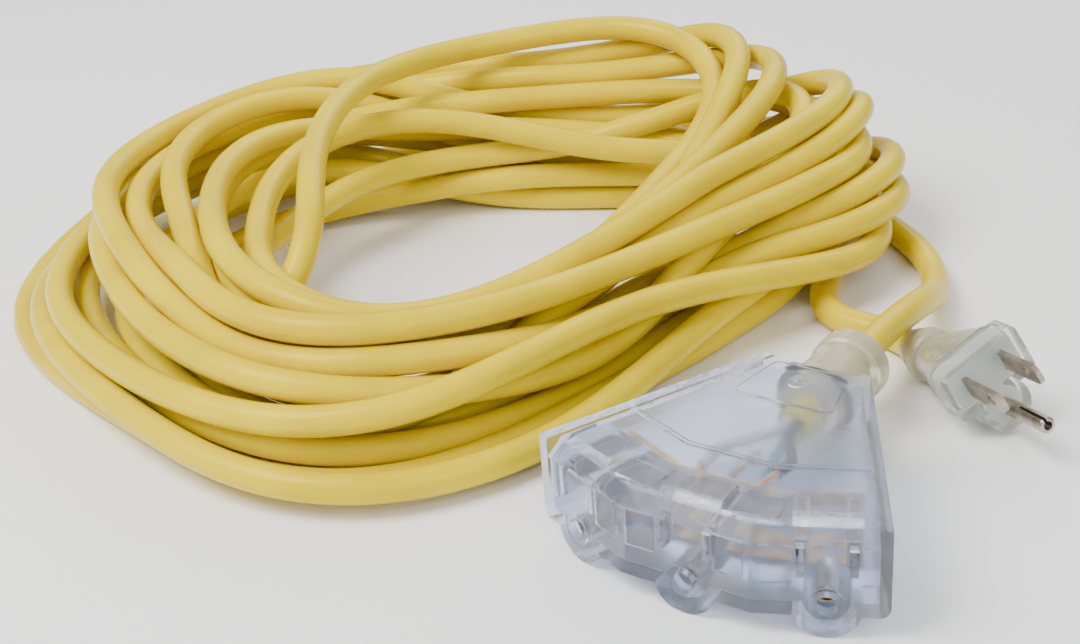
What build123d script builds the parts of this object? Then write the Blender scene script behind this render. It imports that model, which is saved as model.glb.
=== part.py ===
"""Grounded extension cord: a clear fan-shaped triple tap, a coiled yellow cord and a clear grounded plug.

Frame: +Z up, floor at Z = 0, origin on the floor under the middle of the tap's housing.
The middle outlet faces -Y and the cord leaves the tap towards +Y. Millimetres.
"""

from build123d import *
import os
from math import cos, pi, radians, sin, tan

os.makedirs("parts", exist_ok=True)

# ---------------------------------------------------------------- driving dimensions
# Blades, ground pin and the openings that take them, to the 15 A grounded pattern
blade_spacing = 12.7
blade_width = 6.35
blade_thickness = 1.5
blade_length = 17.5
blade_hole_diameter = 3.2
blade_tip_chamfer = 1.4
ground_drop = 11.9
ground_pin_diameter = 4.8
ground_pin_length = 20.6
ground_pin_bore = 2.6
ground_hole_diameter = 5.4
slot_width = 2.1
line_slot_height = 7.4
neutral_slot_height = 8.4

# Tap housing: three front facets, two straight sides and a short back
middle_facet = 36.0
side_facet = 33.6
facet_turn = 23.0
side_outlet_from_corner = 18.4
tap_depth = 78.0
tap_back_width = 32.0
tap_foot = 6.5
tap_height = 24.4
tap_wall = 2.6
tap_floor = 2.6
tap_roof = 3.0
front_band = 4.7
side_edge_radius = 3.0
rim_width = 3.2
rim_height = 0.8
rim_depth = 9.0
lobe_radius = 8.5
lobe_length = 24.5
lobe_flare = 11.5
lobe_flare_radius = 2.2
outlet_ground_height = 9.8
hole_rim_radius = 4.6
hole_rim_height = 0.6
pane_inner = 8.2
pane_outer = 16.2
pane_base = 5.7
pane_depth = 0.8
boss_width = 17.0
boss_front = 1.2
boss_depth = 13.5
boss_rise = 1.7
corner_pad = (12.0, 8.0)
corner_pad_front = 5.4
pad_rise = 0.8
pad_corner = 1.5
wire_pad = [(-14.5, 17.0), (14.5, 17.0), (10.5, 36.5), (-10.5, 36.5)]
wire_pad_corner = 2.0
rib_depth = 26.4
rib_width = 1.2
rib_end_gap = 4.0
gate_radius = 2.6
gate_height = 0.5
gate_place = (0.0, 27.3)
fit_gap = 0.1

# Carrier, contacts, bars and wires inside the tap
carrier_depth = 17.2
contact_front = 5.0
contact_length = 14.4
contact_height = 6.6
leaf_thickness = 0.5
leaf_gap = 1.3
leaf_spread = 3.4
leaf_pinch = 3.0
leaf_shoulder = 7.0
ground_contact_wall = 0.6
ground_contact_split = 1.0
bar_front = 20.8
bar_width = 4.6
bar_thickness = 0.8
bar_overhang = 2.4
bar_step = 2.0
tail_width = 2.6
wire_diameter = 3.0
strand_diameter = 1.8
wire_bend = 5.0
wire_lead_in = 6.0
strand_overhang = 0.4
strand_bare = 6.0
core_radius = wire_diameter / 1.5

# Power lamp between the line and neutral bars
lamp_radius = 1.5
lamp_flange = 0.3
lamp_flange_length = 1.0
lamp_body = 4.0
lamp_behind_bar = 13.0
lead_radius = 0.3
lead_gap = 2.54
lead_bend = 0.6
lead_straight = 2.0
lead_slope = 1.5
resistor_radius = 1.1
resistor_length = 6.0
resistor_behind_bar = 1.5
resistor_corner = 0.4

# Cord
cord_diameter = 9.3
cord_radius = cord_diameter / 2
sheath_end_inside = 15.0

# Moulded strain relief of the tap
relief_root_radius = 9.0
relief_root_length = 5.6
relief_base_radius = 11.6
relief_waist_radius = 9.6
relief_collar_radius = 11.0
relief_collar_length = 7.0
relief_length = 30.0
relief_tip_radius = 7.4
relief_groove_depth = 1.4
relief_groove_length = 1.6
relief_groove_slope = 0.8

# Plug: a plate behind the blades, a body that narrows to the neck, and a collared strain relief
plate_width = 27.0
plate_height = 16.4
plate_depth = 8.0
plate_corner = 2.4
plug_lobe_radius = 7.8
plug_face_wall = 2.0
plug_wall = 2.2
body_front_width = 25.0
body_front_height = 17.5
body_length = 25.0
neck_radius = cord_radius + 2.75
plug_axis_drop = 4.2
plug_collar_radius = neck_radius + 0.8
plug_collar_length = 5.0
plug_collar_slope = 1.0
plug_groove_depth = 1.2
plug_groove_length = 1.8
plug_relief_length = 13.0
plug_relief_tip_radius = cord_radius + 1.15
blade_tail = 3.0
blade_hole_from_tip = 5.5
pin_neck_radius = 2.2
pin_neck_reach = 0.4
pin_tip_radius = 0.7
pin_split = 0.9
pin_split_share = 0.6
spigot_length = 3.0
bridge_web = 6.0
plug_body_corner = 6.0
plug_pocket_corner = 1.5
lobe_taper = 0.8
neck_taper = 1.5
lobe_space_end = 6.0
plug_sheath_inside = 4.0
plug_wire_lead_in = 3.5
plug_wire_lead_out = 3.0
plug_wire_bend = 2.5

# ---------------------------------------------------------------- the tap's plan
front = -(tap_depth - hole_rim_height) / 2
back = front + tap_depth
neck_height = tap_foot + tap_height / 2
tap_top = tap_foot + tap_height
outlet_height = outlet_ground_height + ground_drop


def along(turn):
    """Direction along a facet, from the viewer's left to right."""
    return Vector(cos(radians(turn)), sin(radians(turn)), 0)


def outward(turn):
    """Way that a facet faces."""
    return Vector(sin(radians(turn)), -cos(radians(turn)), 0)


corner = Vector(middle_facet / 2, front, 0)
right_outlet = corner + along(facet_turn) * side_outlet_from_corner
outlets = {
    "left": (-facet_turn, Vector(-right_outlet.X, right_outlet.Y, 0)),
    "middle": (0.0, Vector(0, front, 0)),
    "right": (facet_turn, right_outlet),
}


def face_plane(side, depth=0.0):
    """Plane of an outlet's face: origin on the ground hole's axis, Y up."""
    turn, foot = outlets[side]
    origin = foot - outward(turn) * depth + Vector(0, 0, outlet_ground_height)
    return Plane(origin=origin, x_dir=along(turn), z_dir=outward(turn))


def deck_plane(side, height):
    """Level plane over an outlet: X along the facet, Y back from it."""
    turn, foot = outlets[side]
    return Plane(origin=foot + Vector(0, 0, height), x_dir=along(turn), z_dir=(0, 0, 1))


def side_plane(side):
    """Upright plane through an outlet: X back from the facet, Y up."""
    turn, foot = outlets[side]
    return Plane(origin=foot, x_dir=-outward(turn), z_dir=along(turn))


def facet_line(depth, reach):
    """Plan points of a line that follows the three facets at a depth behind them."""
    bend = middle_facet / 2 - depth * tan(radians(facet_turn / 2))
    end = corner + along(facet_turn) * reach - outward(facet_turn) * depth
    return [(-end.X, end.Y), (-bend, front + depth), (bend, front + depth), (end.X, end.Y)]


def band_outline(near, far, reach):
    """Closed plan outline between two such lines."""
    return facet_line(near, reach) + facet_line(far, reach)[::-1]


def fan_outline():
    """Closed plan outline of the housing."""
    half = tap_back_width / 2
    return facet_line(0, side_facet) + [(half, back), (-half, back)]


def fan_block(inset, low, high, band):
    """Fan-shaped block inside the housing's outline, with its front upper edge cut back."""
    with BuildPart() as block:
        with BuildSketch(Plane.XY.offset(low)):
            with BuildLine():
                Polyline(*fan_outline(), close=True)
            make_face()
            offset(amount=-inset, kind=Kind.INTERSECTION)
        extrude(amount=high - low)
        front_edges = block.edges().group_by(Axis.Z)[-1].sort_by(Axis.Y)[:3]
        chamfer(front_edges, length=band)
    return block.part


cavity = fan_block(tap_wall, tap_foot + tap_floor, tap_top - tap_roof, front_band - tap_wall / 2)
lobe_bore = lobe_radius - tap_wall

# ---------------------------------------------------------------- tap housing
with BuildPart() as tap_shell:
    with BuildSketch(Plane.XY.offset(tap_foot)):
        with BuildLine():
            Polyline(*fan_outline(), close=True)
        make_face()
    extrude(amount=tap_height)
    fillet(tap_shell.edges().group_by(Axis.Z)[0].sort_by(Axis.Y)[3:5], radius=side_edge_radius)
    chamfer(tap_shell.edges().group_by(Axis.Z)[-1].sort_by(Axis.Y)[:3], length=front_band)
    # rims along both sides, standing a little over the deck
    rim_front = Vector(*facet_line(0, side_facet)[3], 0)
    rim_back = Vector(tap_back_width / 2, back, 0)
    rim_inner = rim_front - along(facet_turn) * rim_width
    with BuildSketch(Plane.XY.offset(tap_top + rim_height)):
        with BuildLine():
            Polyline(
                (rim_front.X, rim_front.Y),
                (rim_back.X, rim_back.Y),
                (rim_back.X - rim_width, rim_back.Y),
                (rim_inner.X, rim_inner.Y),
                close=True,
            )
        make_face()
        mirror(about=Plane.YZ)
    extrude(amount=-rim_depth)
    # a rounded lobe under each outlet carries its ground hole down below the underside
    for side in outlets:
        with BuildSketch(face_plane(side)) as lobe:
            with Locations((0, lobe_radius - outlet_ground_height)):
                Circle(lobe_radius)
            with Locations((0, tap_foot - outlet_ground_height)):
                Rectangle(2 * lobe_flare, lobe_radius, align=(Align.CENTER, Align.MIN))
            joins = [
                v
                for v in lobe.vertices()
                if abs(v.Z - tap_foot) < 1e-3
                and lobe_radius / 2 < (v.center() - face_plane(side).origin).length < lobe_flare - 1
            ]
            fillet(joins, radius=lobe_flare_radius)
        extrude(amount=-lobe_length)
    # raised boss over each outlet's contacts, its front sloped like the housing's band
    boss_top = tap_top + boss_rise
    for side in outlets:
        with BuildSketch(side_plane(side)):
            with BuildLine():
                Polyline(
                    (boss_front, outlet_height),
                    (boss_front, boss_top - front_band),
                    (boss_front + front_band, boss_top),
                    (boss_front + boss_depth - boss_rise, boss_top),
                    (boss_front + boss_depth, tap_top),
                    (boss_front + boss_depth, outlet_height),
                    close=True,
                )
            make_face()
        extrude(amount=boss_width / 2, both=True)
    # low pads where two facets meet, and one over the wires ahead of the cord's neck
    for hand in (-1, 1):
        pad_place = Plane(
            origin=(hand * corner.X, corner.Y, tap_top + pad_rise),
            x_dir=along(hand * facet_turn / 2),
            z_dir=(0, 0, 1),
        )
        with BuildSketch(pad_place):
            with Locations((0, corner_pad_front + corner_pad[1] / 2)):
                RectangleRounded(corner_pad[0], corner_pad[1], pad_corner)
        extrude(amount=-2 * pad_rise)
    with BuildSketch(Plane.XY.offset(tap_top + pad_rise)):
        with BuildLine():
            Polyline(*wire_pad, close=True)
        make_face()
        fillet(vertices(), radius=wire_pad_corner)
    extrude(amount=-2 * pad_rise)
    # rib across the deck behind the contact carrier
    with BuildSketch(Plane.XY.offset(tap_top + pad_rise)):
        with BuildLine():
            Polyline(*band_outline(rib_depth, rib_depth + rib_width, side_facet - rib_end_gap), close=True)
        make_face()
    extrude(amount=-2 * pad_rise)
    # hollow for the carrier, bars and wires
    add(cavity, mode=Mode.SUBTRACT)
    for side in outlets:
        with BuildSketch(face_plane(side, tap_wall)):
            Circle(lobe_bore)
        extrude(amount=-(lobe_length - 2 * tap_wall), mode=Mode.SUBTRACT)
    with BuildSketch(Plane(origin=(0, back, neck_height), x_dir=(1, 0, 0), z_dir=(0, -1, 0))):
        Circle(relief_root_radius)
    extrude(amount=tap_wall, mode=Mode.SUBTRACT)
    # faces: sunk panes beside each pair of slots, a rim round each ground hole, slots and hole
    for side in outlets:
        with BuildSketch(face_plane(side)):
            pane_top = tap_top - front_band - outlet_ground_height
            for hand in (-1, 1):
                outer = pane_outer
                if hand * outlets[side][0] > 0:
                    outer = side_facet - side_outlet_from_corner - rim_width
                width = outer - pane_inner
                with Locations((hand * (pane_inner + width / 2), (pane_base + pane_top) / 2)):
                    Rectangle(width, pane_top - pane_base)
        extrude(amount=-pane_depth, mode=Mode.SUBTRACT)
        with BuildSketch(face_plane(side)):
            Circle(hole_rim_radius)
        extrude(amount=hole_rim_height)
    for side in outlets:
        with BuildSketch(face_plane(side, -hole_rim_height)):
            Circle(ground_hole_diameter / 2)
            with Locations((-blade_spacing / 2, ground_drop)):
                Rectangle(slot_width, neutral_slot_height)
            with Locations((blade_spacing / 2, ground_drop)):
                Rectangle(slot_width, line_slot_height)
        extrude(amount=-(tap_wall + hole_rim_height), mode=Mode.SUBTRACT)
    with BuildSketch(Plane.XY.offset(tap_top + pad_rise)):
        with Locations(gate_place):
            Circle(gate_radius)
            Circle(gate_radius / 3, mode=Mode.SUBTRACT)
    extrude(amount=gate_height)
tap_shell.part.label = "tap_shell"
export_step(tap_shell.part, "parts/tap_shell.step")

# ---------------------------------------------------------------- contact carrier
# One moulding that fills the front of the housing and holds nine contacts from behind
inside_front = tap_wall + fit_gap
carrier_back = tap_wall + carrier_depth
chamber_width = leaf_spread + 4 * fit_gap
chamber_height = contact_height + 4 * fit_gap
ground_contact_inner = ground_pin_diameter / 2
ground_contact_outer = ground_contact_inner + ground_contact_wall
fan_core = fan_block(
    tap_wall + fit_gap,
    tap_foot + tap_floor + fit_gap,
    tap_top - tap_roof - fit_gap,
    front_band - tap_wall / 2 + fit_gap,
)
with BuildPart() as contact_carrier:
    with BuildSketch(Plane.XY):
        with BuildLine():
            Polyline(*band_outline(0, carrier_back, side_facet + tap_depth), close=True)
        make_face()
    extrude(amount=2 * tap_top)
    add(fan_core, mode=Mode.INTERSECT)
    for side in outlets:
        with BuildSketch(face_plane(side, inside_front)):
            Circle(lobe_bore - fit_gap)
        extrude(amount=inside_front - carrier_back)
    for side in outlets:
        with BuildSketch(face_plane(side, inside_front)):
            Circle(ground_hole_diameter / 2)
            with Locations((-blade_spacing / 2, ground_drop)):
                Rectangle(slot_width, neutral_slot_height)
            with Locations((blade_spacing / 2, ground_drop)):
                Rectangle(slot_width, line_slot_height)
        extrude(amount=inside_front - contact_front, mode=Mode.SUBTRACT)
        with BuildSketch(face_plane(side, contact_front - 2 * fit_gap)):
            Circle(ground_contact_outer + 2 * fit_gap)
            with Locations((-blade_spacing / 2, ground_drop), (blade_spacing / 2, ground_drop)):
                Rectangle(chamber_width, chamber_height)
        extrude(amount=-carrier_depth, mode=Mode.SUBTRACT)
contact_carrier.part.label = "contact_carrier"
export_step(contact_carrier.part, "parts/contact_carrier.step")

# ---------------------------------------------------------------- bars and contacts
# Three flat brass bars run behind the carrier, one above another, and each outlet's
# contacts reach back to them with a tail that ends on the bar's front edge
bar_levels = {
    "line": outlet_height + bar_step,
    "neutral": outlet_height - bar_step,
    "ground": outlet_ground_height,
}
bar_reach = side_outlet_from_corner + blade_spacing / 2 + bar_overhang
for pole, level in bar_levels.items():
    with BuildPart() as bar:
        with BuildSketch(Plane.XY.offset(level - bar_thickness / 2)):
            with BuildLine():
                Polyline(*band_outline(bar_front, bar_front + bar_width, bar_reach), close=True)
            make_face()
        extrude(amount=bar_thickness)
    bar.part.label = pole + "_busbar"
    export_step(bar.part, "parts/" + pole + "_busbar.step")

contact_back = contact_front + contact_length
leaf_half = (leaf_spread - leaf_thickness) / 2
throat_half = (leaf_gap + leaf_thickness) / 2
blade_places = {"neutral": -blade_spacing / 2, "line": blade_spacing / 2}
for side in outlets:
    for pole, place in blade_places.items():
        with BuildPart() as contact:
            # leaf pair, open to the front, pinched where it grips the blade
            with BuildSketch(deck_plane(side, outlet_height - contact_height / 2)):
                with BuildLine():
                    Polyline(
                        (place - leaf_half, contact_front + leaf_thickness / 2),
                        (place - throat_half, contact_front + leaf_pinch),
                        (place - leaf_half, contact_front + leaf_shoulder),
                        (place - leaf_half, contact_back - leaf_thickness / 2),
                        (place + leaf_half, contact_back - leaf_thickness / 2),
                        (place + leaf_half, contact_front + leaf_shoulder),
                        (place + throat_half, contact_front + leaf_pinch),
                        (place + leaf_half, contact_front + leaf_thickness / 2),
                    )
                trace(line_width=leaf_thickness)
            extrude(amount=contact_height)
            with BuildSketch(deck_plane(side, bar_levels[pole] - bar_thickness / 2)):
                with Locations((place, (contact_back + bar_front) / 2)):
                    Rectangle(tail_width, bar_front - contact_back)
            extrude(amount=bar_thickness)
        contact.part.label = side + "_" + pole + "_contact"
        export_step(contact.part, "parts/" + side + "_" + pole + "_contact.step")
    with BuildPart() as contact:
        # rolled sleeve, split along its top, for the ground pin
        with BuildSketch(face_plane(side, contact_front)):
            Circle(ground_contact_outer)
            Circle(ground_contact_inner, mode=Mode.SUBTRACT)
            with Locations((0, ground_contact_outer)):
                Rectangle(ground_contact_split, 2 * ground_contact_outer, mode=Mode.SUBTRACT)
        extrude(amount=-contact_length)
        with BuildSketch(deck_plane(side, outlet_ground_height - bar_thickness / 2)):
            for hand in (-1, 1):
                middle = hand * (ground_contact_inner + ground_contact_wall / 2)
                with Locations((middle, (contact_back + bar_front) / 2)):
                    Rectangle(ground_contact_wall, bar_front - contact_back)
        extrude(amount=bar_thickness)
    contact.part.label = side + "_ground_contact"
    export_step(contact.part, "parts/" + side + "_ground_contact.step")

# ---------------------------------------------------------------- wires inside the tap
# The cord's jacket ends inside the neck, and its three wires part there. Each wire's
# bare strands lie on top of its bar.
sheath_face = back - sheath_end_inside
bar_far = front + bar_front + bar_width
strand_tip = front + bar_front + strand_overhang
strand_start = bar_far + strand_bare
wire_routes = {
    "line": [(12.0, sheath_face - 26), (10.6, strand_start)],
    "neutral": [(-11.5, sheath_face - 22), (-11.0, strand_start)],
    "ground": [(0.0, sheath_face - 18), (0.4, strand_start)],
}
wire_starts = {
    "line": (core_radius * cos(radians(30)), neck_height + core_radius / 2),
    "neutral": (-core_radius * cos(radians(30)), neck_height + core_radius / 2),
    "ground": (0, neck_height - core_radius),
}
for pole, route in wire_routes.items():
    rest = bar_levels[pole] + bar_thickness / 2 + strand_diameter / 2
    start_x, start_z = wire_starts[pole]
    bend_x, bend_y = route[0]
    end_x, end_y = route[1]
    with BuildPart() as wire:
        with BuildLine() as wire_line:
            FilletPolyline(
                (start_x, sheath_face, start_z),
                (start_x, sheath_face - wire_lead_in, start_z),
                (bend_x, bend_y, rest),
                (end_x, end_y, rest),
                radius=wire_bend,
            )
        with BuildSketch(Plane(origin=(start_x, sheath_face, start_z), z_dir=(0, -1, 0))):
            Circle(wire_diameter / 2)
        sweep()
    wire.part.label = pole + "_wire"
    export_step(wire.part, "parts/" + pole + "_wire.step")
    run = Vector(end_x - bend_x, end_y - bend_y, 0)
    with BuildPart() as strand:
        with BuildSketch(Plane(origin=(end_x, end_y, rest), z_dir=run)):
            Circle(strand_diameter / 2)
        extrude(amount=(end_y - strand_tip) * run.length / -run.Y)
    strand.part.label = pole + "_strands"
    export_step(strand.part, "parts/" + pole + "_strands.step")

# ---------------------------------------------------------------- power lamp in the tap
# A lamp lies behind the bars with its leads on the line and neutral bars
lamp_base = bar_far + lamp_behind_bar
with BuildPart() as tap_lamp:
    with BuildSketch(Plane(origin=(0, lamp_base, outlet_height), x_dir=(1, 0, 0), z_dir=(0, 1, 0))):
        Circle(lamp_radius + lamp_flange)
    extrude(amount=lamp_flange_length)
    with BuildSketch(Plane(origin=(0, lamp_base, outlet_height), x_dir=(1, 0, 0), z_dir=(0, 1, 0))):
        Circle(lamp_radius)
    extrude(amount=lamp_body)
    fillet(tap_lamp.edges().sort_by(Axis.Y)[-1], radius=lamp_radius * 0.9)
tap_lamp.part.label = "tap_lamp"
export_step(tap_lamp.part, "parts/tap_lamp.step")

for pole, hand in (("line", 1), ("neutral", -1)):
    lead_z = outlet_height + hand * lead_gap / 2
    with BuildPart() as lead:
        with BuildLine():
            FilletPolyline(
                (0, lamp_base, lead_z),
                (0, lamp_base - lead_straight, lead_z),
                (0, lamp_base - lead_straight - lead_slope, bar_levels[pole]),
                (0, bar_far, bar_levels[pole]),
                radius=lead_bend,
            )
        with BuildSketch(Plane(origin=(0, lamp_base, lead_z), z_dir=(0, -1, 0))):
            Circle(lead_radius)
        sweep()
    lead.part.label = "tap_lamp_" + pole + "_lead"
    export_step(lead.part, "parts/tap_lamp_" + pole + "_lead.step")

resistor_end = Vector(0, bar_far + resistor_behind_bar, bar_levels["line"])
resistor_place = Plane(origin=resistor_end, x_dir=(1, 0, 0), z_dir=(0, 1, 0))
with BuildPart() as tap_lamp_resistor:
    with BuildSketch(resistor_place):
        Circle(resistor_radius)
    extrude(amount=resistor_length)
    fillet(tap_lamp_resistor.edges(), radius=resistor_corner)
    with BuildSketch(resistor_place):
        Circle(lead_radius)
    extrude(amount=resistor_length, mode=Mode.SUBTRACT)
tap_lamp_resistor.part.label = "tap_lamp_resistor"
export_step(tap_lamp_resistor.part, "parts/tap_lamp_resistor.step")

# ---------------------------------------------------------------- strain relief of the tap
neck_origin = Vector(0, back, neck_height)
collar_end = relief_length - (relief_collar_radius - relief_tip_radius)
collar_start = collar_end - relief_collar_length
groove_start = collar_start - relief_groove_length
groove_radius = relief_waist_radius - relief_groove_depth
with BuildPart() as tap_strain_relief:
    with BuildSketch(Plane(origin=neck_origin, x_dir=(0, 1, 0), z_dir=(1, 0, 0))):
        with BuildLine():
            Polyline(
                (-relief_root_length, cord_radius),
                (-relief_root_length, relief_root_radius),
                (0, relief_root_radius),
                (0, relief_base_radius),
                (groove_start - relief_groove_slope, relief_waist_radius),
                (groove_start, groove_radius),
                (collar_start, groove_radius),
                (collar_start, relief_collar_radius - relief_groove_slope),
                (collar_start + relief_groove_slope, relief_collar_radius),
                (collar_end, relief_collar_radius),
                (relief_length, relief_tip_radius),
                (relief_length, cord_radius),
                close=True,
            )
        make_face()
    revolve(axis=Axis(neck_origin, (0, 1, 0)))
tap_strain_relief.part.label = "tap_strain_relief"
export_step(tap_strain_relief.part, "parts/tap_strain_relief.step")

with BuildPart() as tap_sheath_end:
    with BuildSketch(Plane(origin=(0, sheath_face, neck_height), z_dir=(0, 1, 0))):
        Circle(cord_radius)
    extrude(amount=sheath_end_inside + relief_length)
tap_sheath_end.part.label = "tap_sheath_end"
export_step(tap_sheath_end.part, "parts/tap_sheath_end.step")

# ---------------------------------------------------------------- plug
# It lies on the floor on its ground lobe and one lower corner of its plate, turned and
# tilted so. Its own frame: origin on its face midway between the blades, Z along them,
# X from blade to blade, Y away from the ground pin.
plug_heading = -40.0
plug_rise = 12.5
plug_roll = 27.0
plug_face_centre = Vector(37.0, 74.0, 19.9)
blades_way = Vector(
    cos(radians(plug_heading)) * cos(radians(plug_rise)),
    sin(radians(plug_heading)) * cos(radians(plug_rise)),
    sin(radians(plug_rise)),
)
level_way = Vector(-sin(radians(plug_heading)), cos(radians(plug_heading)), 0)
across_way = level_way * cos(radians(plug_roll)) + blades_way.cross(level_way) * sin(radians(plug_roll))
plug_frame = Plane(origin=plug_face_centre, x_dir=across_way, z_dir=blades_way)
plug_up = plug_frame.y_dir


def plug_plane(depth, drop=0.0):
    """Plane across the plug at a depth behind its face, with its origin lowered by drop."""
    origin = plug_face_centre - blades_way * depth - plug_up * drop
    return Plane(origin=origin, x_dir=across_way, z_dir=blades_way)


neck_depth = plate_depth + body_length
with BuildPart() as plug_shell:
    with BuildSketch(plug_plane(0)) as plate:
        RectangleRounded(plate_width, plate_height, plate_corner)
        with Locations((0, -ground_drop)):
            Circle(plug_lobe_radius)
    extrude(amount=-plate_depth)
    with BuildSketch(plug_plane(plate_depth)):
        RectangleRounded(body_front_width, body_front_height, plug_body_corner)
    with BuildSketch(plug_plane(neck_depth, plug_axis_drop)):
        Circle(neck_radius)
    loft()
    with BuildSketch(plug_plane(plate_depth, ground_drop)):
        Circle(plug_lobe_radius - lobe_taper)
    with BuildSketch(plug_plane(neck_depth, plug_axis_drop)):
        Circle(neck_radius - neck_taper)
    loft()
    # pocket for the blade holder, and a narrowing space for the wires
    with BuildSketch(plug_plane(plug_face_wall)):
        RectangleRounded(
            plate_width - 2 * plug_wall, plate_height - 2 * plug_wall, plug_pocket_corner
        )
        with Locations((0, -ground_drop)):
            Circle(plug_lobe_radius - plug_wall)
        with Locations((0, -ground_drop / 2)):
            Rectangle(bridge_web, ground_drop)
    extrude(amount=plug_face_wall - plate_depth, mode=Mode.SUBTRACT)
    with BuildSketch(plug_plane(plate_depth)):
        RectangleRounded(
            body_front_width - 2 * plug_wall, body_front_height - 2 * plug_wall, plug_body_corner / 2
        )
    with BuildSketch(plug_plane(neck_depth, plug_axis_drop)):
        Circle(neck_radius - plug_wall)
    loft(mode=Mode.SUBTRACT)
    with BuildSketch(plug_plane(plate_depth, ground_drop)):
        Circle(plug_lobe_radius - plug_wall - lobe_taper)
    with BuildSketch(plug_plane(neck_depth - lobe_space_end, plug_axis_drop)):
        Circle(neck_radius - plug_wall - neck_taper)
    loft(mode=Mode.SUBTRACT)
    with BuildSketch(plug_plane(neck_depth, plug_axis_drop)):
        Circle(neck_radius - plug_wall)
    extrude(amount=spigot_length, mode=Mode.SUBTRACT)
    # the blades and the pin are moulded in, so their openings are their own size
    with BuildSketch(plug_plane(0)):
        with Locations((-blade_spacing / 2, 0), (blade_spacing / 2, 0)):
            Rectangle(blade_thickness, blade_width)
        with Locations((0, -ground_drop)):
            Circle(pin_neck_radius)
    extrude(amount=-plug_face_wall, mode=Mode.SUBTRACT)
plug_shell.part.label = "plug_shell"
export_step(plug_shell.part, "parts/plug_shell.step")

with BuildPart() as plug_bridge:
    with BuildSketch(plug_plane(plug_face_wall + fit_gap)):
        RectangleRounded(
            plate_width - 2 * plug_wall - 2 * fit_gap,
            plate_height - 2 * plug_wall - 2 * fit_gap,
            plug_pocket_corner - fit_gap,
        )
        with Locations((0, -ground_drop)):
            Circle(plug_lobe_radius - plug_wall - fit_gap)
        with Locations((0, -ground_drop / 2)):
            Rectangle(bridge_web - 2 * fit_gap, ground_drop)
        with Locations((-blade_spacing / 2, 0), (blade_spacing / 2, 0)):
            Rectangle(blade_thickness, blade_width, mode=Mode.SUBTRACT)
        with Locations((0, -ground_drop)):
            Circle(pin_neck_radius, mode=Mode.SUBTRACT)
    extrude(amount=plug_face_wall + 2 * fit_gap - plate_depth)
plug_bridge.part.label = "plug_bridge"
export_step(plug_bridge.part, "parts/plug_bridge.step")

for pole, hand in (("line", 1), ("neutral", -1)):
    with BuildPart() as blade:
        with BuildSketch(plug_plane(plate_depth + blade_tail)):
            with Locations((hand * blade_spacing / 2, 0)):
                Rectangle(blade_thickness, blade_width)
        extrude(amount=plate_depth + blade_tail + blade_length)
        tip = blade.faces().sort_by(Axis((0, 0, 0), blades_way))[-1]
        short_edges = tip.edges().sort_by(lambda e: e.length)[:2]
        chamfer(short_edges, length=blade_tip_chamfer)
        hole_at = plug_plane(blade_hole_from_tip - blade_length).origin + across_way * hand * blade_spacing
        with BuildSketch(Plane(origin=hole_at, x_dir=blades_way, z_dir=-across_way * hand)):
            Circle(blade_hole_diameter / 2)
        extrude(amount=blade_spacing, mode=Mode.SUBTRACT)
    blade.part.label = "plug_" + pole + "_blade"
    export_step(blade.part, "parts/plug_" + pole + "_blade.step")

with BuildPart() as plug_ground_pin:
    # a thinner stem is held in the moulding, and the pin itself starts just past the face
    with BuildSketch(plug_plane(plate_depth + blade_tail, ground_drop)):
        Circle(pin_neck_radius)
    extrude(amount=plate_depth + blade_tail + pin_neck_reach)
    with BuildSketch(plug_plane(-pin_neck_reach, ground_drop)):
        Circle(ground_pin_diameter / 2)
    extrude(amount=ground_pin_length - pin_neck_reach)
    fillet(plug_ground_pin.edges().sort_by(Axis((0, 0, 0), blades_way))[-1], radius=pin_tip_radius)
    with BuildSketch(plug_plane(-ground_pin_length, ground_drop)):
        Circle(ground_pin_bore / 2)
        Rectangle(pin_split, ground_pin_diameter, align=(Align.CENTER, Align.MIN))
    extrude(amount=-pin_split_share * ground_pin_length, mode=Mode.SUBTRACT)
plug_ground_pin.part.label = "plug_ground_pin"
export_step(plug_ground_pin.part, "parts/plug_ground_pin.step")

plug_sheath_depth = neck_depth - plug_sheath_inside
plug_wire_ends = {
    "line": (blade_spacing / 2, 0, -(plate_depth + blade_tail)),
    "neutral": (-blade_spacing / 2, 0, -(plate_depth + blade_tail)),
    "ground": (0, -ground_drop, -(plate_depth + blade_tail)),
}
for pole, end in plug_wire_ends.items():
    turn = {"line": 30, "neutral": 150, "ground": 270}[pole]
    start_x = core_radius * cos(radians(turn))
    start_y = core_radius * sin(radians(turn)) - plug_axis_drop
    run = [
        (start_x, start_y, -plug_sheath_depth),
        (start_x, start_y, -plug_sheath_depth + plug_wire_lead_in),
        (end[0], end[1], end[2] - plug_wire_lead_out),
        end,
    ]
    with BuildPart() as wire:
        with BuildLine():
            FilletPolyline(*[plug_frame.from_local_coords(p) for p in run], radius=plug_wire_bend)
        with BuildSketch(plug_plane(plug_sheath_depth, 0)):
            with Locations((start_x, start_y)):
                Circle(wire_diameter / 2)
        sweep()
    wire.part.label = "plug_" + pole + "_wire"
    export_step(wire.part, "parts/plug_" + pole + "_wire.step")

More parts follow.
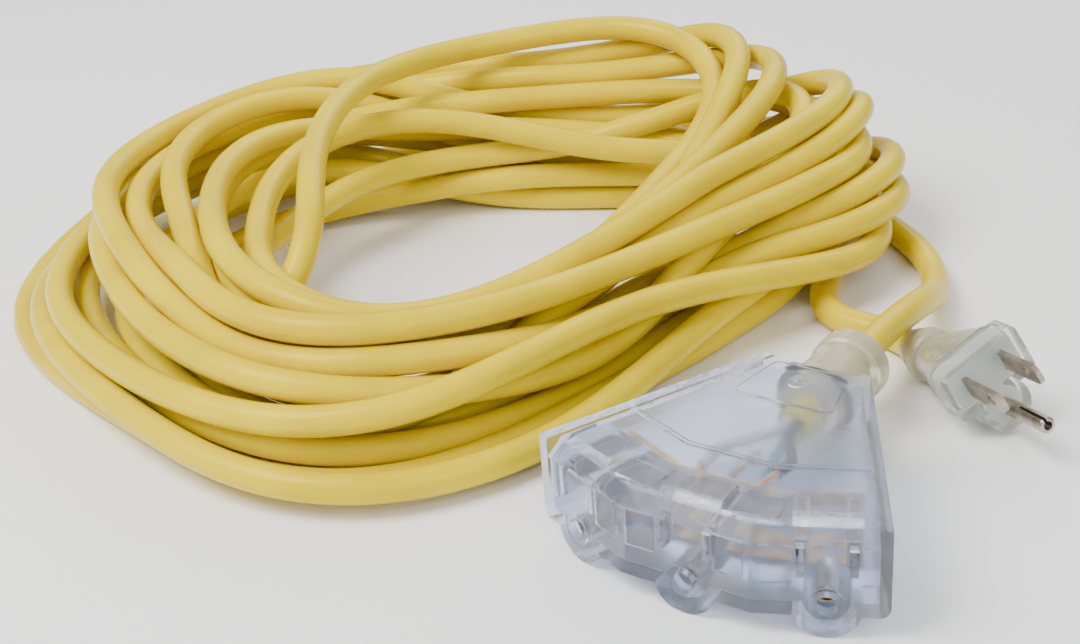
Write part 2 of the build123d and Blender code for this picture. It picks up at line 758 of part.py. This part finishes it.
plug_end_depth = neck_depth + plug_relief_length
plug_axis_at = plug_plane(neck_depth, plug_axis_drop).origin
groove_near = plug_collar_length + plug_groove_depth
groove_far = groove_near + plug_groove_length
with BuildPart() as plug_strain_relief:
    with BuildSketch(Plane(origin=plug_axis_at, x_dir=-blades_way, z_dir=across_way)):
        with BuildLine():
            Polyline(
                (-spigot_length, cord_radius),
                (-spigot_length, neck_radius - plug_wall),
                (0, neck_radius - plug_wall),
                (0, neck_radius),
                (plug_collar_slope, plug_collar_radius),
                (plug_collar_length, plug_collar_radius),
                (groove_near, neck_radius - plug_groove_depth),
                (groove_far, neck_radius - plug_groove_depth),
                (groove_far + plug_collar_slope, neck_radius - plug_groove_depth / 3),
                (plug_relief_length, plug_relief_tip_radius),
                (plug_relief_length, cord_radius),
                close=True,
            )
        make_face()
    revolve(axis=Axis(plug_axis_at, blades_way))
plug_strain_relief.part.label = "plug_strain_relief"
export_step(plug_strain_relief.part, "parts/plug_strain_relief.step")

with BuildPart() as plug_sheath_end:
    with BuildSketch(plug_plane(plug_end_depth, plug_axis_drop)):
        Circle(cord_radius)
    extrude(amount=plug_end_depth - plug_sheath_depth)
plug_sheath_end.part.label = "plug_sheath_end"
export_step(plug_sheath_end.part, "parts/plug_sheath_end.step")

# ---------------------------------------------------------------- cord
# From the tap it stays level over the plug's cord, sinks to the floor and swings left
# under the coil. From the coil's near end it swings right, along the floor, to the plug.
plug_cord_end = plug_plane(plug_end_depth, plug_axis_drop).origin
tap_cord_route = [
    (0.0, back + relief_length, neck_height),
    (0.0, back + relief_length + 16.0, neck_height),
    (1.4, 103.0, 18.0),
    (0.4, 121.0, 13.6),
    (-2.5, 138.0, 7.6),
    (-8.0, 154.0, 5.0),
    (-17.0, 168.0, 4.8),
    (-29.0, 180.0, 4.7),
    (-41.0, 188.4, 4.8),
]
plug_cord_route = [
    tuple(plug_cord_end),
    tuple(plug_cord_end - blades_way * 9.0),
    (-10.0, 112.0, 5.0),
    (-22.0, 112.0, 4.7),
    (-32.0, 118.0, 4.8),
    (-38.0, 129.0, 4.7),
    (-41.0, 142.0, 4.8),
    (-45.0, 152.2, 4.7),
]


def bend_radii(route):
    """Radius at each inner point: 0.45 of the shorter run over the tangent of half the turn."""
    points = [Vector(*p) for p in route]
    radii = []
    for a, b, c in zip(points, points[1:], points[2:]):
        half_turn = radians((b - a).get_angle(c - b)) / 2
        radii.append(0.45 * min((b - a).length, (c - b).length) / tan(half_turn))
    return radii


for name, route in (("cord_tap_run", tap_cord_route), ("cord_plug_run", plug_cord_route)):
    radii = bend_radii(route)
    start = Vector(*route[0])
    with BuildPart() as tube:
        with BuildLine() as line:
            FilletPolyline(*route, radius=radii)
        with BuildSketch(Plane(origin=start, z_dir=Vector(*route[1]) - start)):
            Circle(cord_radius)
        sweep()
    length = sum(e.length for e in line.edges())
    print(name, "radii", [round(r) for r in radii], "length", round(length, 1))
    print(name, "volume over section times length", tube.part.volume / (pi * cord_radius**2 * length))
    tube.part.label = name
    export_step(tube.part, "parts/" + name + ".step")

# ---------------------------------------------------------------- coil
# Outer shape of the coiled cord: a rounded ring of stacked turns, flattened on the side
# that faces the tap
coil_outline = [
    (-286.0, -20.0),
    (-124.0, -62.0),
    (-68.0, -18.0),
    (-34.0, 150.0),
    (-40.0, 228.0),
    (-172.0, 228.0),
    (-286.0, 172.0),
    (-318.0, 80.0),
]
coil_corners = [40.0, 34.0, 40.0, 30.0, 36.0, 40.0, 40.0, 60.0]
coil_hole = [
    (-206.0, 66.0),
    (-150.0, 12.0),
    (-118.0, 30.0),
    (-100.0, 90.0),
    (-104.0, 166.0),
    (-196.0, 142.0),
]
coil_hole_corner = 18.0
coil_height = 62.0
coil_edge_radius = 12.0
with BuildPart() as cord_coil:
    with BuildSketch() as ring:
        with BuildLine():
            Polyline(*coil_outline, close=True)
        make_face()
        for place, radius in zip(coil_outline, coil_corners):
            fillet(ring.vertices().sort_by_distance((*place, 0))[0], radius=radius)
        with BuildSketch(mode=Mode.SUBTRACT) as hole:
            with BuildLine():
                Polyline(*coil_hole, close=True)
            make_face()
            fillet(hole.vertices(), radius=coil_hole_corner)
    extrude(amount=coil_height)
    fillet(cord_coil.edges().filter_by(Plane.XY), radius=coil_edge_radius)
cord_coil.part.label = "cord_coil"
export_step(cord_coil.part, "parts/cord_coil.step")
for piece in (tap_shell, plug_shell, plug_strain_relief, cord_coil):
    print(piece.part.label, "lowest", round(piece.part.bounding_box().min.Z, 3))
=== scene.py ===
"""A yellow grounded extension cord in a loose coil, with a clear triple tap and a clear plug."""

import bmesh
import bpy
import numpy as np
from mathutils import Matrix, Vector


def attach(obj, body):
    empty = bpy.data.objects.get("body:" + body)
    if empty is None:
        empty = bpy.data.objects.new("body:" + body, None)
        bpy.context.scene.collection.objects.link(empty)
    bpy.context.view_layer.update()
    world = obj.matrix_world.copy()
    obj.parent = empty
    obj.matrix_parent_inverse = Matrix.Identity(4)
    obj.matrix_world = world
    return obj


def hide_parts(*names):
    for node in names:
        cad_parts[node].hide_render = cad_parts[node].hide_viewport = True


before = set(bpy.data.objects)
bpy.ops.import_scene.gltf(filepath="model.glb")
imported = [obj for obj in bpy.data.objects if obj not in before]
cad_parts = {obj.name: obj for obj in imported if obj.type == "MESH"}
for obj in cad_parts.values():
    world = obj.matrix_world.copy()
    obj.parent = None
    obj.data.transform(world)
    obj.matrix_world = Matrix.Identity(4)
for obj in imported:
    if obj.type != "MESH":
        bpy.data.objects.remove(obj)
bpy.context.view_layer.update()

# ---------------------------------------------------------------- camera
# A 55 mm lens a little above the coil. It looks down over the tap's front right corner,
# with the whole cord in view.
camera_right = Vector((0.83925, 0.53940, -0.06866))
camera_down = Vector((0.19848, -0.42146, -0.88486))
camera_forward = Vector((-0.50623, 0.72899, -0.46077))
lens = bpy.data.cameras.new("camera")
lens.lens = 55.0
lens.sensor_width = 36.0
lens.clip_start = 0.01
camera = bpy.data.objects.new("camera", lens)
bpy.context.scene.collection.objects.link(camera)
turned = Matrix((camera_right, -camera_down, -camera_forward)).transposed()
camera.matrix_world = Matrix.Translation((0.1635, -0.3271, 0.25585)) @ turned.to_4x4()
bpy.context.scene.camera = camera

# ---------------------------------------------------------------- cord
# One length of round yellow jacketed cord with three stranded wires inside, 9.3 mm thick.
# It leaves the tap, dives under a loose hand-laid coil, and comes out again to the plug.
cord_diameter = 0.0093
mm = 0.001
tap_run = [
    (0.0, 0.0693, 0.0187),
    (0.0, 0.0853, 0.0187),
    (0.0014, 0.103, 0.018),
    (0.0004, 0.121, 0.0136),
    (-0.0025, 0.138, 0.0076),
    (-0.008, 0.154, 0.005),
    (-0.017, 0.168, 0.0048),
    (-0.029, 0.180, 0.0047),
    (-0.041, 0.1884, 0.0048),
]
plug_run = [
    (-0.045, 0.1522, 0.0047),
    (-0.041, 0.142, 0.0048),
    (-0.038, 0.129, 0.0047),
    (-0.032, 0.118, 0.0048),
    (-0.022, 0.112, 0.0047),
    (-0.010, 0.112, 0.005),
    (-0.00229, 0.10946, 0.00434),
    (0.00444, 0.10381, 0.00629),
]


def across_ring(base, inwards, places):
    """Where the turns pass one place on the ring: each is (in from base, up), in millimetres."""
    way = np.array(inwards) / np.hypot(*inwards)
    return {
        turn: np.array([base[0] + way[0] * step_in, base[1] + way[1] * step_in, up])
        for turn, (step_in, up) in places.items()
    }


def at_points(places):
    return {turn: np.array(place, dtype=float) for turn, place in places.items()}


# The ring in the order a turn goes round it, from the back to the front right
back = across_ring((-130, 176), (-0.42, 0.90), {
    0: (-1, 32), 1: (45, 58), 2: (-14, 26), 3: (8, 24), 4: (24, 38), 5: (14, 16), 6: (30, 44),
    7: (22, 30), 8: (40, 52), 9: (10, 9), 10: (33, 14), 11: (20, 7), 12: (36, 5), 13: (30, 23),
    14: (-2, 14), 15: (0, 5),
})
back_left = across_ring((-182, 150), (-0.48, 0.87), {
    0: (3, 23), 1: (24, 58), 2: (-3, 36), 3: (9, 30), 4: (13, 38), 5: (12, 20), 6: (25, 44),
    7: (20, 35), 8: (35, 46), 9: (12, 10), 10: (25, 16), 11: (22, 26), 12: (34, 8), 13: (24, 6),
    14: (0, 14), 15: (0, 5),
})
left_back = at_points({
    2: (-222, 116, 43), 3: (-236, 124, 38), 4: (-243, 130, 34), 5: (-249, 133, 45),
    6: (-255, 143, 38), 7: (-258, 145, 44), 8: (-268, 155, 40), 9: (-250, 120, 14),
    10: (-275, 140, 18), 11: (-270, 135, 28), 12: (-285, 135, 10), 13: (-292, 130, 20),
    14: (-238, 112, 6), 15: (-240, 116, 22),
})
left = at_points({
    2: (-226, 90, 40), 3: (-236, 68, 45), 4: (-242, 75, 38), 5: (-263, 72, 46),
    6: (-272, 66, 38), 7: (-280, 56, 42), 8: (-278, 72, 34), 9: (-262, 60, 14),
    10: (-290, 55, 14), 11: (-283, 45, 22), 12: (-296, 50, 10), 13: (-303, 35, 6),
    14: (-250, 70, 6), 15: (-252, 68, 22),
})
left_front = at_points({
    2: (-205, 45, 38), 3: (-212, 28, 45), 4: (-224, 38, 36), 5: (-233, 34, 45),
    6: (-247, 27, 38), 7: (-242, 11, 42), 8: (-256, 17, 35), 9: (-233, 0, 12),
    10: (-249, 0, 12), 11: (-242, -18, 21), 12: (-255, -15, 13), 13: (-271, -10, 6),
    14: (-222, 20, 8), 15: (-228, 24, 18),
})
front_left = across_ring((-119, -45), (-0.576, 0.818), {
    2: (43, 36), 3: (34, 42), 4: (33, 31), 5: (41, 26), 6: (24, 40), 7: (20, 30), 8: (11, 30),
    9: (15, 13), 10: (5, 13.5), 11: (4, 23), 12: (-7.5, 9), 13: (0, 5), 14: (25, 8), 15: (34, 15),
})
front = across_ring((-92, -25), (-0.53, 0.85), {
    2: (43, 33), 3: (35, 36), 4: (34, 26), 5: (44, 23), 6: (26, 40), 7: (18, 34), 8: (15, 26.5),
    9: (19, 15), 10: (9, 8), 11: (7, 25), 12: (-7.5, 8), 13: (0, 5), 14: (26, 6), 15: (30, 14),
})
front_right = across_ring((-70, 38), (-0.46, 0.89), {
    2: (39, 36), 3: (30, 41), 4: (38, 27), 5: (46, 31), 6: (17, 37), 7: (22, 21), 8: (7, 16),
    9: (27, 30), 10: (10, 6), 11: (8, 27), 12: (-8, 6), 13: (1, 5), 14: (20, 11), 15: (31, 13),
})
# Right-hand ends, where each turn folds back: the upper ones fan out, the low ones hide
fold = at_points({
    "a": (-111, 196, 50), "b": (-112, 217, 64), "c": (-91, 214, 59), "d": (-77, 215, 54),
    "e": (-59, 211, 51), "f": (-52, 206, 44), "g": (-46, 201, 37), "h": (-33, 194, 31),
    "i": (-28, 196, 22), "j": (-26, 170, 14), "k": (-52, 200, 13), "l": (-62, 192, 22),
    "m": (-66, 190, 13), "n": (-60, 205, 30),
})
# The topmost turn slips off the back, drops through the ring and turns back under the rest
slipped_turn = [
    (-218, 150, 58), (-213, 104, 58), (-191, 58, 55), (-172, 26, 48), (-156, 4, 34),
    (-160, -14, 20), (-184, -18, 15), (-204, -2, 16), (-207, 28, 20), (-206, 58, 24),
    (-216, 92, 26),
]
first_turns = [(13, "k"), (14, "m"), (9, "f"), (11, "j"), (3, "e"), (7, "i"), (5, "a")]
last_turns = [("d", 8), ("b", 4), ("g", 6), ("c", 2), ("l", 10), ("n", 12), ("h", 15)]
ring = [back, back_left, left_back, left, left_front, front_left, front, front_right]

laid = [(-60, 198, 5), (-85, 210, 5)]
for turn, end in first_turns:
    laid += [station[turn] for station in ring] + [fold[end]]
laid += [back[1], back_left[1], *slipped_turn, back_left[0], back[0]]
for end, turn in last_turns:
    laid += [fold[end]] + [station[turn] for station in reversed(ring)]
laid += [(-100, 186, 5), (-70, 180, 5), (-52, 168, 5)]


def smooth_through(knots, spacing):
    """Points on a smooth line through the knots, after the first knot and before the last."""
    line = [knots[1]]
    for a, b, c, d in zip(knots[:-3], knots[1:-2], knots[2:-1], knots[3:]):
        tb = np.linalg.norm(b - a) ** 0.5
        tc = tb + np.linalg.norm(c - b) ** 0.5
        td = tc + np.linalg.norm(d - c) ** 0.5
        count = max(2, round(np.linalg.norm(c - b) / spacing))
        for t in np.linspace(tb, tc, count + 1)[1:]:
            ab = (tb - t) / tb * a + t / tb * b
            bc = (tc - t) / (tc - tb) * b + (t - tb) / (tc - tb) * c
            cd = (td - t) / (td - tc) * c + (t - tc) / (td - tc) * d
            abc = (tc - t) / tc * ab + t / tc * bc
            bcd = (td - t) / (td - tb) * bc + (t - tb) / (td - tb) * cd
            line.append((tc - t) / (tc - tb) * abc + (t - tb) / (tc - tb) * bcd)
    return np.array(line)


def evenly_spaced(line, spacing):
    along = np.r_[0, np.cumsum(np.linalg.norm(np.diff(line, axis=0), axis=1))]
    places = np.linspace(0, along[-1], round(along[-1] / spacing) + 1)
    return np.stack([np.interp(places, along, line[:, axis]) for axis in range(3)], axis=1)


def close_pairs(line, reach, apart):
    """Every two points within reach of each other that are over apart points apart."""
    first, second = [], []
    for start in range(0, len(line), 400):
        gaps = line[start : start + 400, None] - line[None]
        near, other = np.nonzero((gaps**2).sum(axis=2) < reach**2)
        keep = other - near - start > apart
        first.append(near[keep] + start)
        second.append(other[keep])
    return np.concatenate(first), np.concatenate(second)


def settle(line, spacing, thickness, rounds):
    """The turns push each other apart, stay smooth and rest on the floor. Both ends are held.

    All lengths are in millimetres.
    """
    ends = line[[0, 1, -2, -1]]
    gap = thickness + 0.2
    tightest_bend = 24.0
    for step in range(rounds):
        if step % 10 == 0:
            line = evenly_spaced(line, spacing)
            first, second = close_pairs(line, reach=gap + 5, apart=5)
        # Two points closer than the gap move apart, less where a point has many neighbours.
        between = line[first] - line[second]
        distance = np.linalg.norm(between, axis=1) + 1e-6
        short = np.clip(gap - distance, 0, None)
        push = between / distance[:, None] * (0.4 * short)[:, None]
        move = np.zeros_like(line)
        np.add.at(move, first, push)
        np.add.at(move, second, -push)
        touches = np.bincount(first[short > 0], minlength=len(line)).astype(float)
        touches += np.bincount(second[short > 0], minlength=len(line))
        line += move / np.sqrt(np.maximum(1, touches))[:, None]
        # The cord's stiffness takes out short waves, and now and then longer ones.
        for span in (1, 3) if step % 5 == 0 else (1,):
            near = line[span : -3 * span] + line[3 * span : -span]
            far = line[: -4 * span] + line[4 * span :]
            middle = line[2 * span : -2 * span]
            middle += (4 * near - far - 6 * middle) / 32
        # A bend tighter than the cord takes is drawn towards its chord.
        bow = (line[:-2] + line[2:]) / 2 - line[1:-1]
        size = np.linalg.norm(bow, axis=1)
        allowed = spacing**2 / 2 / tightest_bend
        over = np.clip(1 - allowed / np.maximum(size, 1e-9), 0, 1)
        line[1:-1] += bow * (0.6 * over)[:, None]
        line[:, 2] = np.maximum(line[:, 2], thickness / 2)
        line[[0, 1, -2, -1]] = ends
    return line


spacing = 6.0
rounds = 160
knots = np.array([*(np.array(tap_run[-2:]) / mm), *laid, *(np.array(plug_run[:2]) / mm)])
coil = evenly_spaced(smooth_through(knots, spacing), spacing)
coil = settle(coil, spacing, cord_diameter / mm, rounds) * mm
points = [*tap_run[:-1], *map(tuple, coil), *plug_run[1:]]

curve = bpy.data.curves.new("cord", "CURVE")
curve.dimensions = "3D"
spline = curve.splines.new("NURBS")
spline.points.add(len(points) - 1)
for point, place in zip(spline.points, points):
    point.co = (*place, 1.0)
spline.order_u = 3
spline.use_endpoint_u = True
spline.resolution_u = 2
curve.bevel_depth = cord_diameter / 2
curve.bevel_resolution = 5
curve.use_fill_caps = True
cord = bpy.data.objects.new("cord", curve)
bpy.context.scene.collection.objects.link(cord)


def tinted(name, dark, pale, patches_per_metre, **settings):
    """A Principled material whose colour drifts from dark to pale in soft patches.

    Each setting goes straight onto the shader's socket of that name.
    """
    material = bpy.data.materials.new(name)
    material.use_nodes = True
    nodes, links = material.node_tree.nodes, material.node_tree.links
    shader = nodes["Principled BSDF"]
    for setting, value in settings.items():
        shader.inputs[setting.replace("_", " ")].default_value = value
    place = nodes.new("ShaderNodeTexCoord")
    noise = nodes.new("ShaderNodeTexNoise")
    noise.inputs["Scale"].default_value = patches_per_metre
    noise.inputs["Detail"].default_value = 3.0
    ramp = nodes.new("ShaderNodeValToRGB")
    for stop, position, colour in zip(ramp.color_ramp.elements, (0.35, 0.65), (dark, pale)):
        stop.position = position
        stop.color = (*colour, 1.0)
    links.new(place.outputs["Object"], noise.inputs["Vector"])
    links.new(noise.outputs["Fac"], ramp.inputs["Fac"])
    links.new(ramp.outputs["Color"], shader.inputs["Base Color"])
    return material


def grain(material, bumps_per_metre, height):
    """Small soft bumps over a material's surface, with their height in metres."""
    nodes, links = material.node_tree.nodes, material.node_tree.links
    place = nodes.new("ShaderNodeTexCoord")
    noise = nodes.new("ShaderNodeTexNoise")
    noise.inputs["Scale"].default_value = bumps_per_metre
    bump = nodes.new("ShaderNodeBump")
    bump.inputs["Strength"].default_value = 0.5
    bump.inputs["Distance"].default_value = height
    links.new(place.outputs["Object"], noise.inputs["Vector"])
    links.new(noise.outputs["Fac"], bump.inputs["Height"])
    links.new(bump.outputs["Normal"], nodes["Principled BSDF"].inputs["Normal"])


jacket_yellow = tinted(
    "jacket_yellow",
    dark=(0.66, 0.48, 0.0),
    pale=(0.76, 0.58, 0.0),
    patches_per_metre=30.0,
    Roughness=0.3,
    Specular_IOR_Level=0.3,
    Specular_Tint=(1.0, 0.86, 0.3, 1.0),
)
grain(jacket_yellow, bumps_per_metre=420.0, height=0.0002)
curve.materials.append(jacket_yellow)
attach(cord, "root")
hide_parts("cord_tap_run", "cord_coil", "cord_plug_run")


def finish(material, *names):
    """Gives CAD nodes their material."""
    for name in names:
        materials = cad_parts[name].data.materials
        materials.clear()
        materials.append(material)


# The jacket's two ends, moulded into the tap and the plug, are the same yellow.
finish(jacket_yellow, "tap_sheath_end", "plug_sheath_end")

# ---------------------------------------------------------------- tap shell
# One hollow moulding of clear flexible PVC over the wired insides. It is faintly blue, glossy
# outside and a little cloudy within.
clear_pvc = tinted(
    "clear_pvc",
    dark=(0.70, 0.76, 0.91),
    pale=(0.84, 0.88, 0.97),
    patches_per_metre=60.0,
    Roughness=0.22,
    IOR=1.22,
    Transmission_Weight=0.95,
    Specular_IOR_Level=0.5,
)
grain(clear_pvc, bumps_per_metre=160.0, height=0.0006)
finish(clear_pvc, "tap_shell")

# ---------------------------------------------------------------- contact carrier
# A clear inner moulding behind the three facets. It holds the contacts in line with the
# openings, and the shell is moulded over it.
carrier_clear = tinted(
    "carrier_clear",
    dark=(0.78, 0.84, 0.95),
    pale=(0.92, 0.95, 1.0),
    patches_per_metre=90.0,
    Roughness=0.22,
    IOR=1.18,
    Transmission_Weight=0.93,
)
finish(carrier_clear, "contact_carrier")

# ---------------------------------------------------------------- bars and contacts
# Stamped brass: one bent bar for each pole along the facets, and on it a contact for each
# blade or pin of that pole.
poles = ("line", "neutral", "ground")
contact_brass = tinted(
    "contact_brass",
    dark=(0.32, 0.16, 0.05),
    pale=(0.80, 0.50, 0.20),
    patches_per_metre=200.0,
    Metallic=1.0,
    Roughness=0.28,
)
for pole in poles:
    finish(contact_brass, pole + "_busbar")
    for side in ("left", "middle", "right"):
        finish(contact_brass, side + "_" + pole + "_contact")

# ---------------------------------------------------------------- wires
# Three stranded copper wires in PVC: black for line, white for neutral and green for ground.
# In the tap each one's stripped copper end is joined to its bar.
insulation_colours = {
    "line": (0.02, 0.02, 0.025),
    "neutral": (0.75, 0.74, 0.70),
    "ground": (0.0, 0.30, 0.22),
}
for pole, colour in insulation_colours.items():
    insulation = tinted(
        "insulation_" + pole,
        dark=[0.85 * value for value in colour],
        pale=colour,
        patches_per_metre=120.0,
        Roughness=0.4,
    )
    finish(insulation, pole + "_wire", "plug_" + pole + "_wire")
copper_strand = tinted(
    "copper_strand",
    dark=(0.80, 0.24, 0.06),
    pale=(1.0, 0.42, 0.16),
    patches_per_metre=300.0,
    Metallic=1.0,
    Roughness=0.3,
)
finish(copper_strand, *(pole + "_strands" for pole in poles))

# ---------------------------------------------------------------- power light
# A small clear lamp across line and neutral, on two tinned leads, with a resistor in one of
# them.
lamp_clear = tinted(
    "lamp_clear",
    dark=(0.9, 0.85, 0.75),
    pale=(1.0, 0.95, 0.9),
    patches_per_metre=200.0,
    Roughness=0.05,
    IOR=1.4,
    Transmission_Weight=0.9,
)
finish(lamp_clear, "tap_lamp")
tinned_wire = tinted(
    "tinned_wire",
    dark=(0.6, 0.6, 0.6),
    pale=(0.8, 0.8, 0.78),
    patches_per_metre=300.0,
    Metallic=1.0,
    Roughness=0.3,
)
finish(tinned_wire, "tap_lamp_line_lead", "tap_lamp_neutral_lead")
resistor_body = tinted(
    "resistor_body",
    dark=(0.45, 0.33, 0.2),
    pale=(0.6, 0.47, 0.3),
    patches_per_metre=300.0,
    Roughness=0.5,
)
finish(resistor_body, "tap_lamp_resistor")

# ---------------------------------------------------------------- strain reliefs
# Tapered collars moulded round the cord where it enters the tap and the plug. The yellow
# jacket tints the clear PVC.
relief_pvc = tinted(
    "relief_pvc",
    dark=(0.80, 0.76, 0.58),
    pale=(0.92, 0.89, 0.76),
    patches_per_metre=60.0,
    Roughness=0.25,
    IOR=1.3,
    Transmission_Weight=0.7,
    Specular_IOR_Level=0.6,
)
finish(relief_pvc, "tap_strain_relief", "plug_strain_relief")

# ---------------------------------------------------------------- plug
# A clear PVC body moulded over a harder block that holds two flat blades and a split ground
# pin, all of dull brownish metal.
plug_clear_pvc = tinted(
    "plug_clear_pvc",
    dark=(0.80, 0.84, 0.80),
    pale=(0.93, 0.94, 0.90),
    patches_per_metre=60.0,
    Roughness=0.18,
    IOR=1.3,
    Transmission_Weight=0.86,
    Specular_IOR_Level=0.6,
)
grain(plug_clear_pvc, bumps_per_metre=160.0, height=0.0006)
finish(plug_clear_pvc, "plug_shell")
bridge_plastic = tinted(
    "bridge_plastic",
    dark=(0.70, 0.75, 0.72),
    pale=(0.80, 0.84, 0.82),
    patches_per_metre=100.0,
    Roughness=0.4,
)
finish(bridge_plastic, "plug_bridge")
blade_metal = tinted(
    "blade_metal",
    dark=(0.30, 0.24, 0.20),
    pale=(0.52, 0.44, 0.36),
    patches_per_metre=260.0,
    Metallic=1.0,
    Roughness=0.32,
)
finish(blade_metal, "plug_line_blade", "plug_neutral_blade", "plug_ground_pin")

# The cord carries the whole plug at its far end, and the tap's relief at its near end. These parts are
# only listed here.
on_cord = [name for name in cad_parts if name.startswith("plug_")]
on_cord += ["tap_strain_relief", "tap_sheath_end"]

# ---------------------------------------------------------------- floor and lights
# A plain pale floor under a soft key light from the front left, with a fill, a back light and
# a white room around.
floor_mesh = bpy.data.meshes.new("floor")
floor_bm = bmesh.new()
bmesh.ops.create_grid(floor_bm, x_segments=1, y_segments=1, size=6.0)
floor_bm.to_mesh(floor_mesh)
floor_bm.free()
floor = bpy.data.objects.new("floor", floor_mesh)
bpy.context.scene.collection.objects.link(floor)
floor_white = tinted(
    "floor_white", dark=(0.93, 0.93, 0.93), pale=(0.95, 0.95, 0.95), patches_per_metre=2.0, Roughness=0.7
)
floor_mesh.materials.append(floor_white)

for name, place, target, size, power in (
    ("key", (-0.5, -0.5, 1.1), (-0.12, 0.08, 0.0), 0.7, 24.0),
    ("fill", (0.9, -0.6, 0.8), (0.0, 0.0, 0.0), 1.0, 9.0),
    ("rim", (-0.3, 1.1, 0.9), (-0.12, 0.1, 0.0), 1.0, 8.0),
):
    area = bpy.data.lights.new(name, "AREA")
    area.size = size
    area.energy = power
    light = bpy.data.objects.new(name, area)
    light.location = place
    light.rotation_euler = (Vector(target) - Vector(place)).to_track_quat("-Z", "Y").to_euler()
    bpy.context.scene.collection.objects.link(light)
world = bpy.data.worlds.new("studio")
world.use_nodes = True
world.node_tree.nodes["Background"].inputs["Color"].default_value = (1.0, 1.0, 1.0, 1.0)
world.node_tree.nodes["Background"].inputs["Strength"].default_value = 0.55
bpy.context.scene.world = world
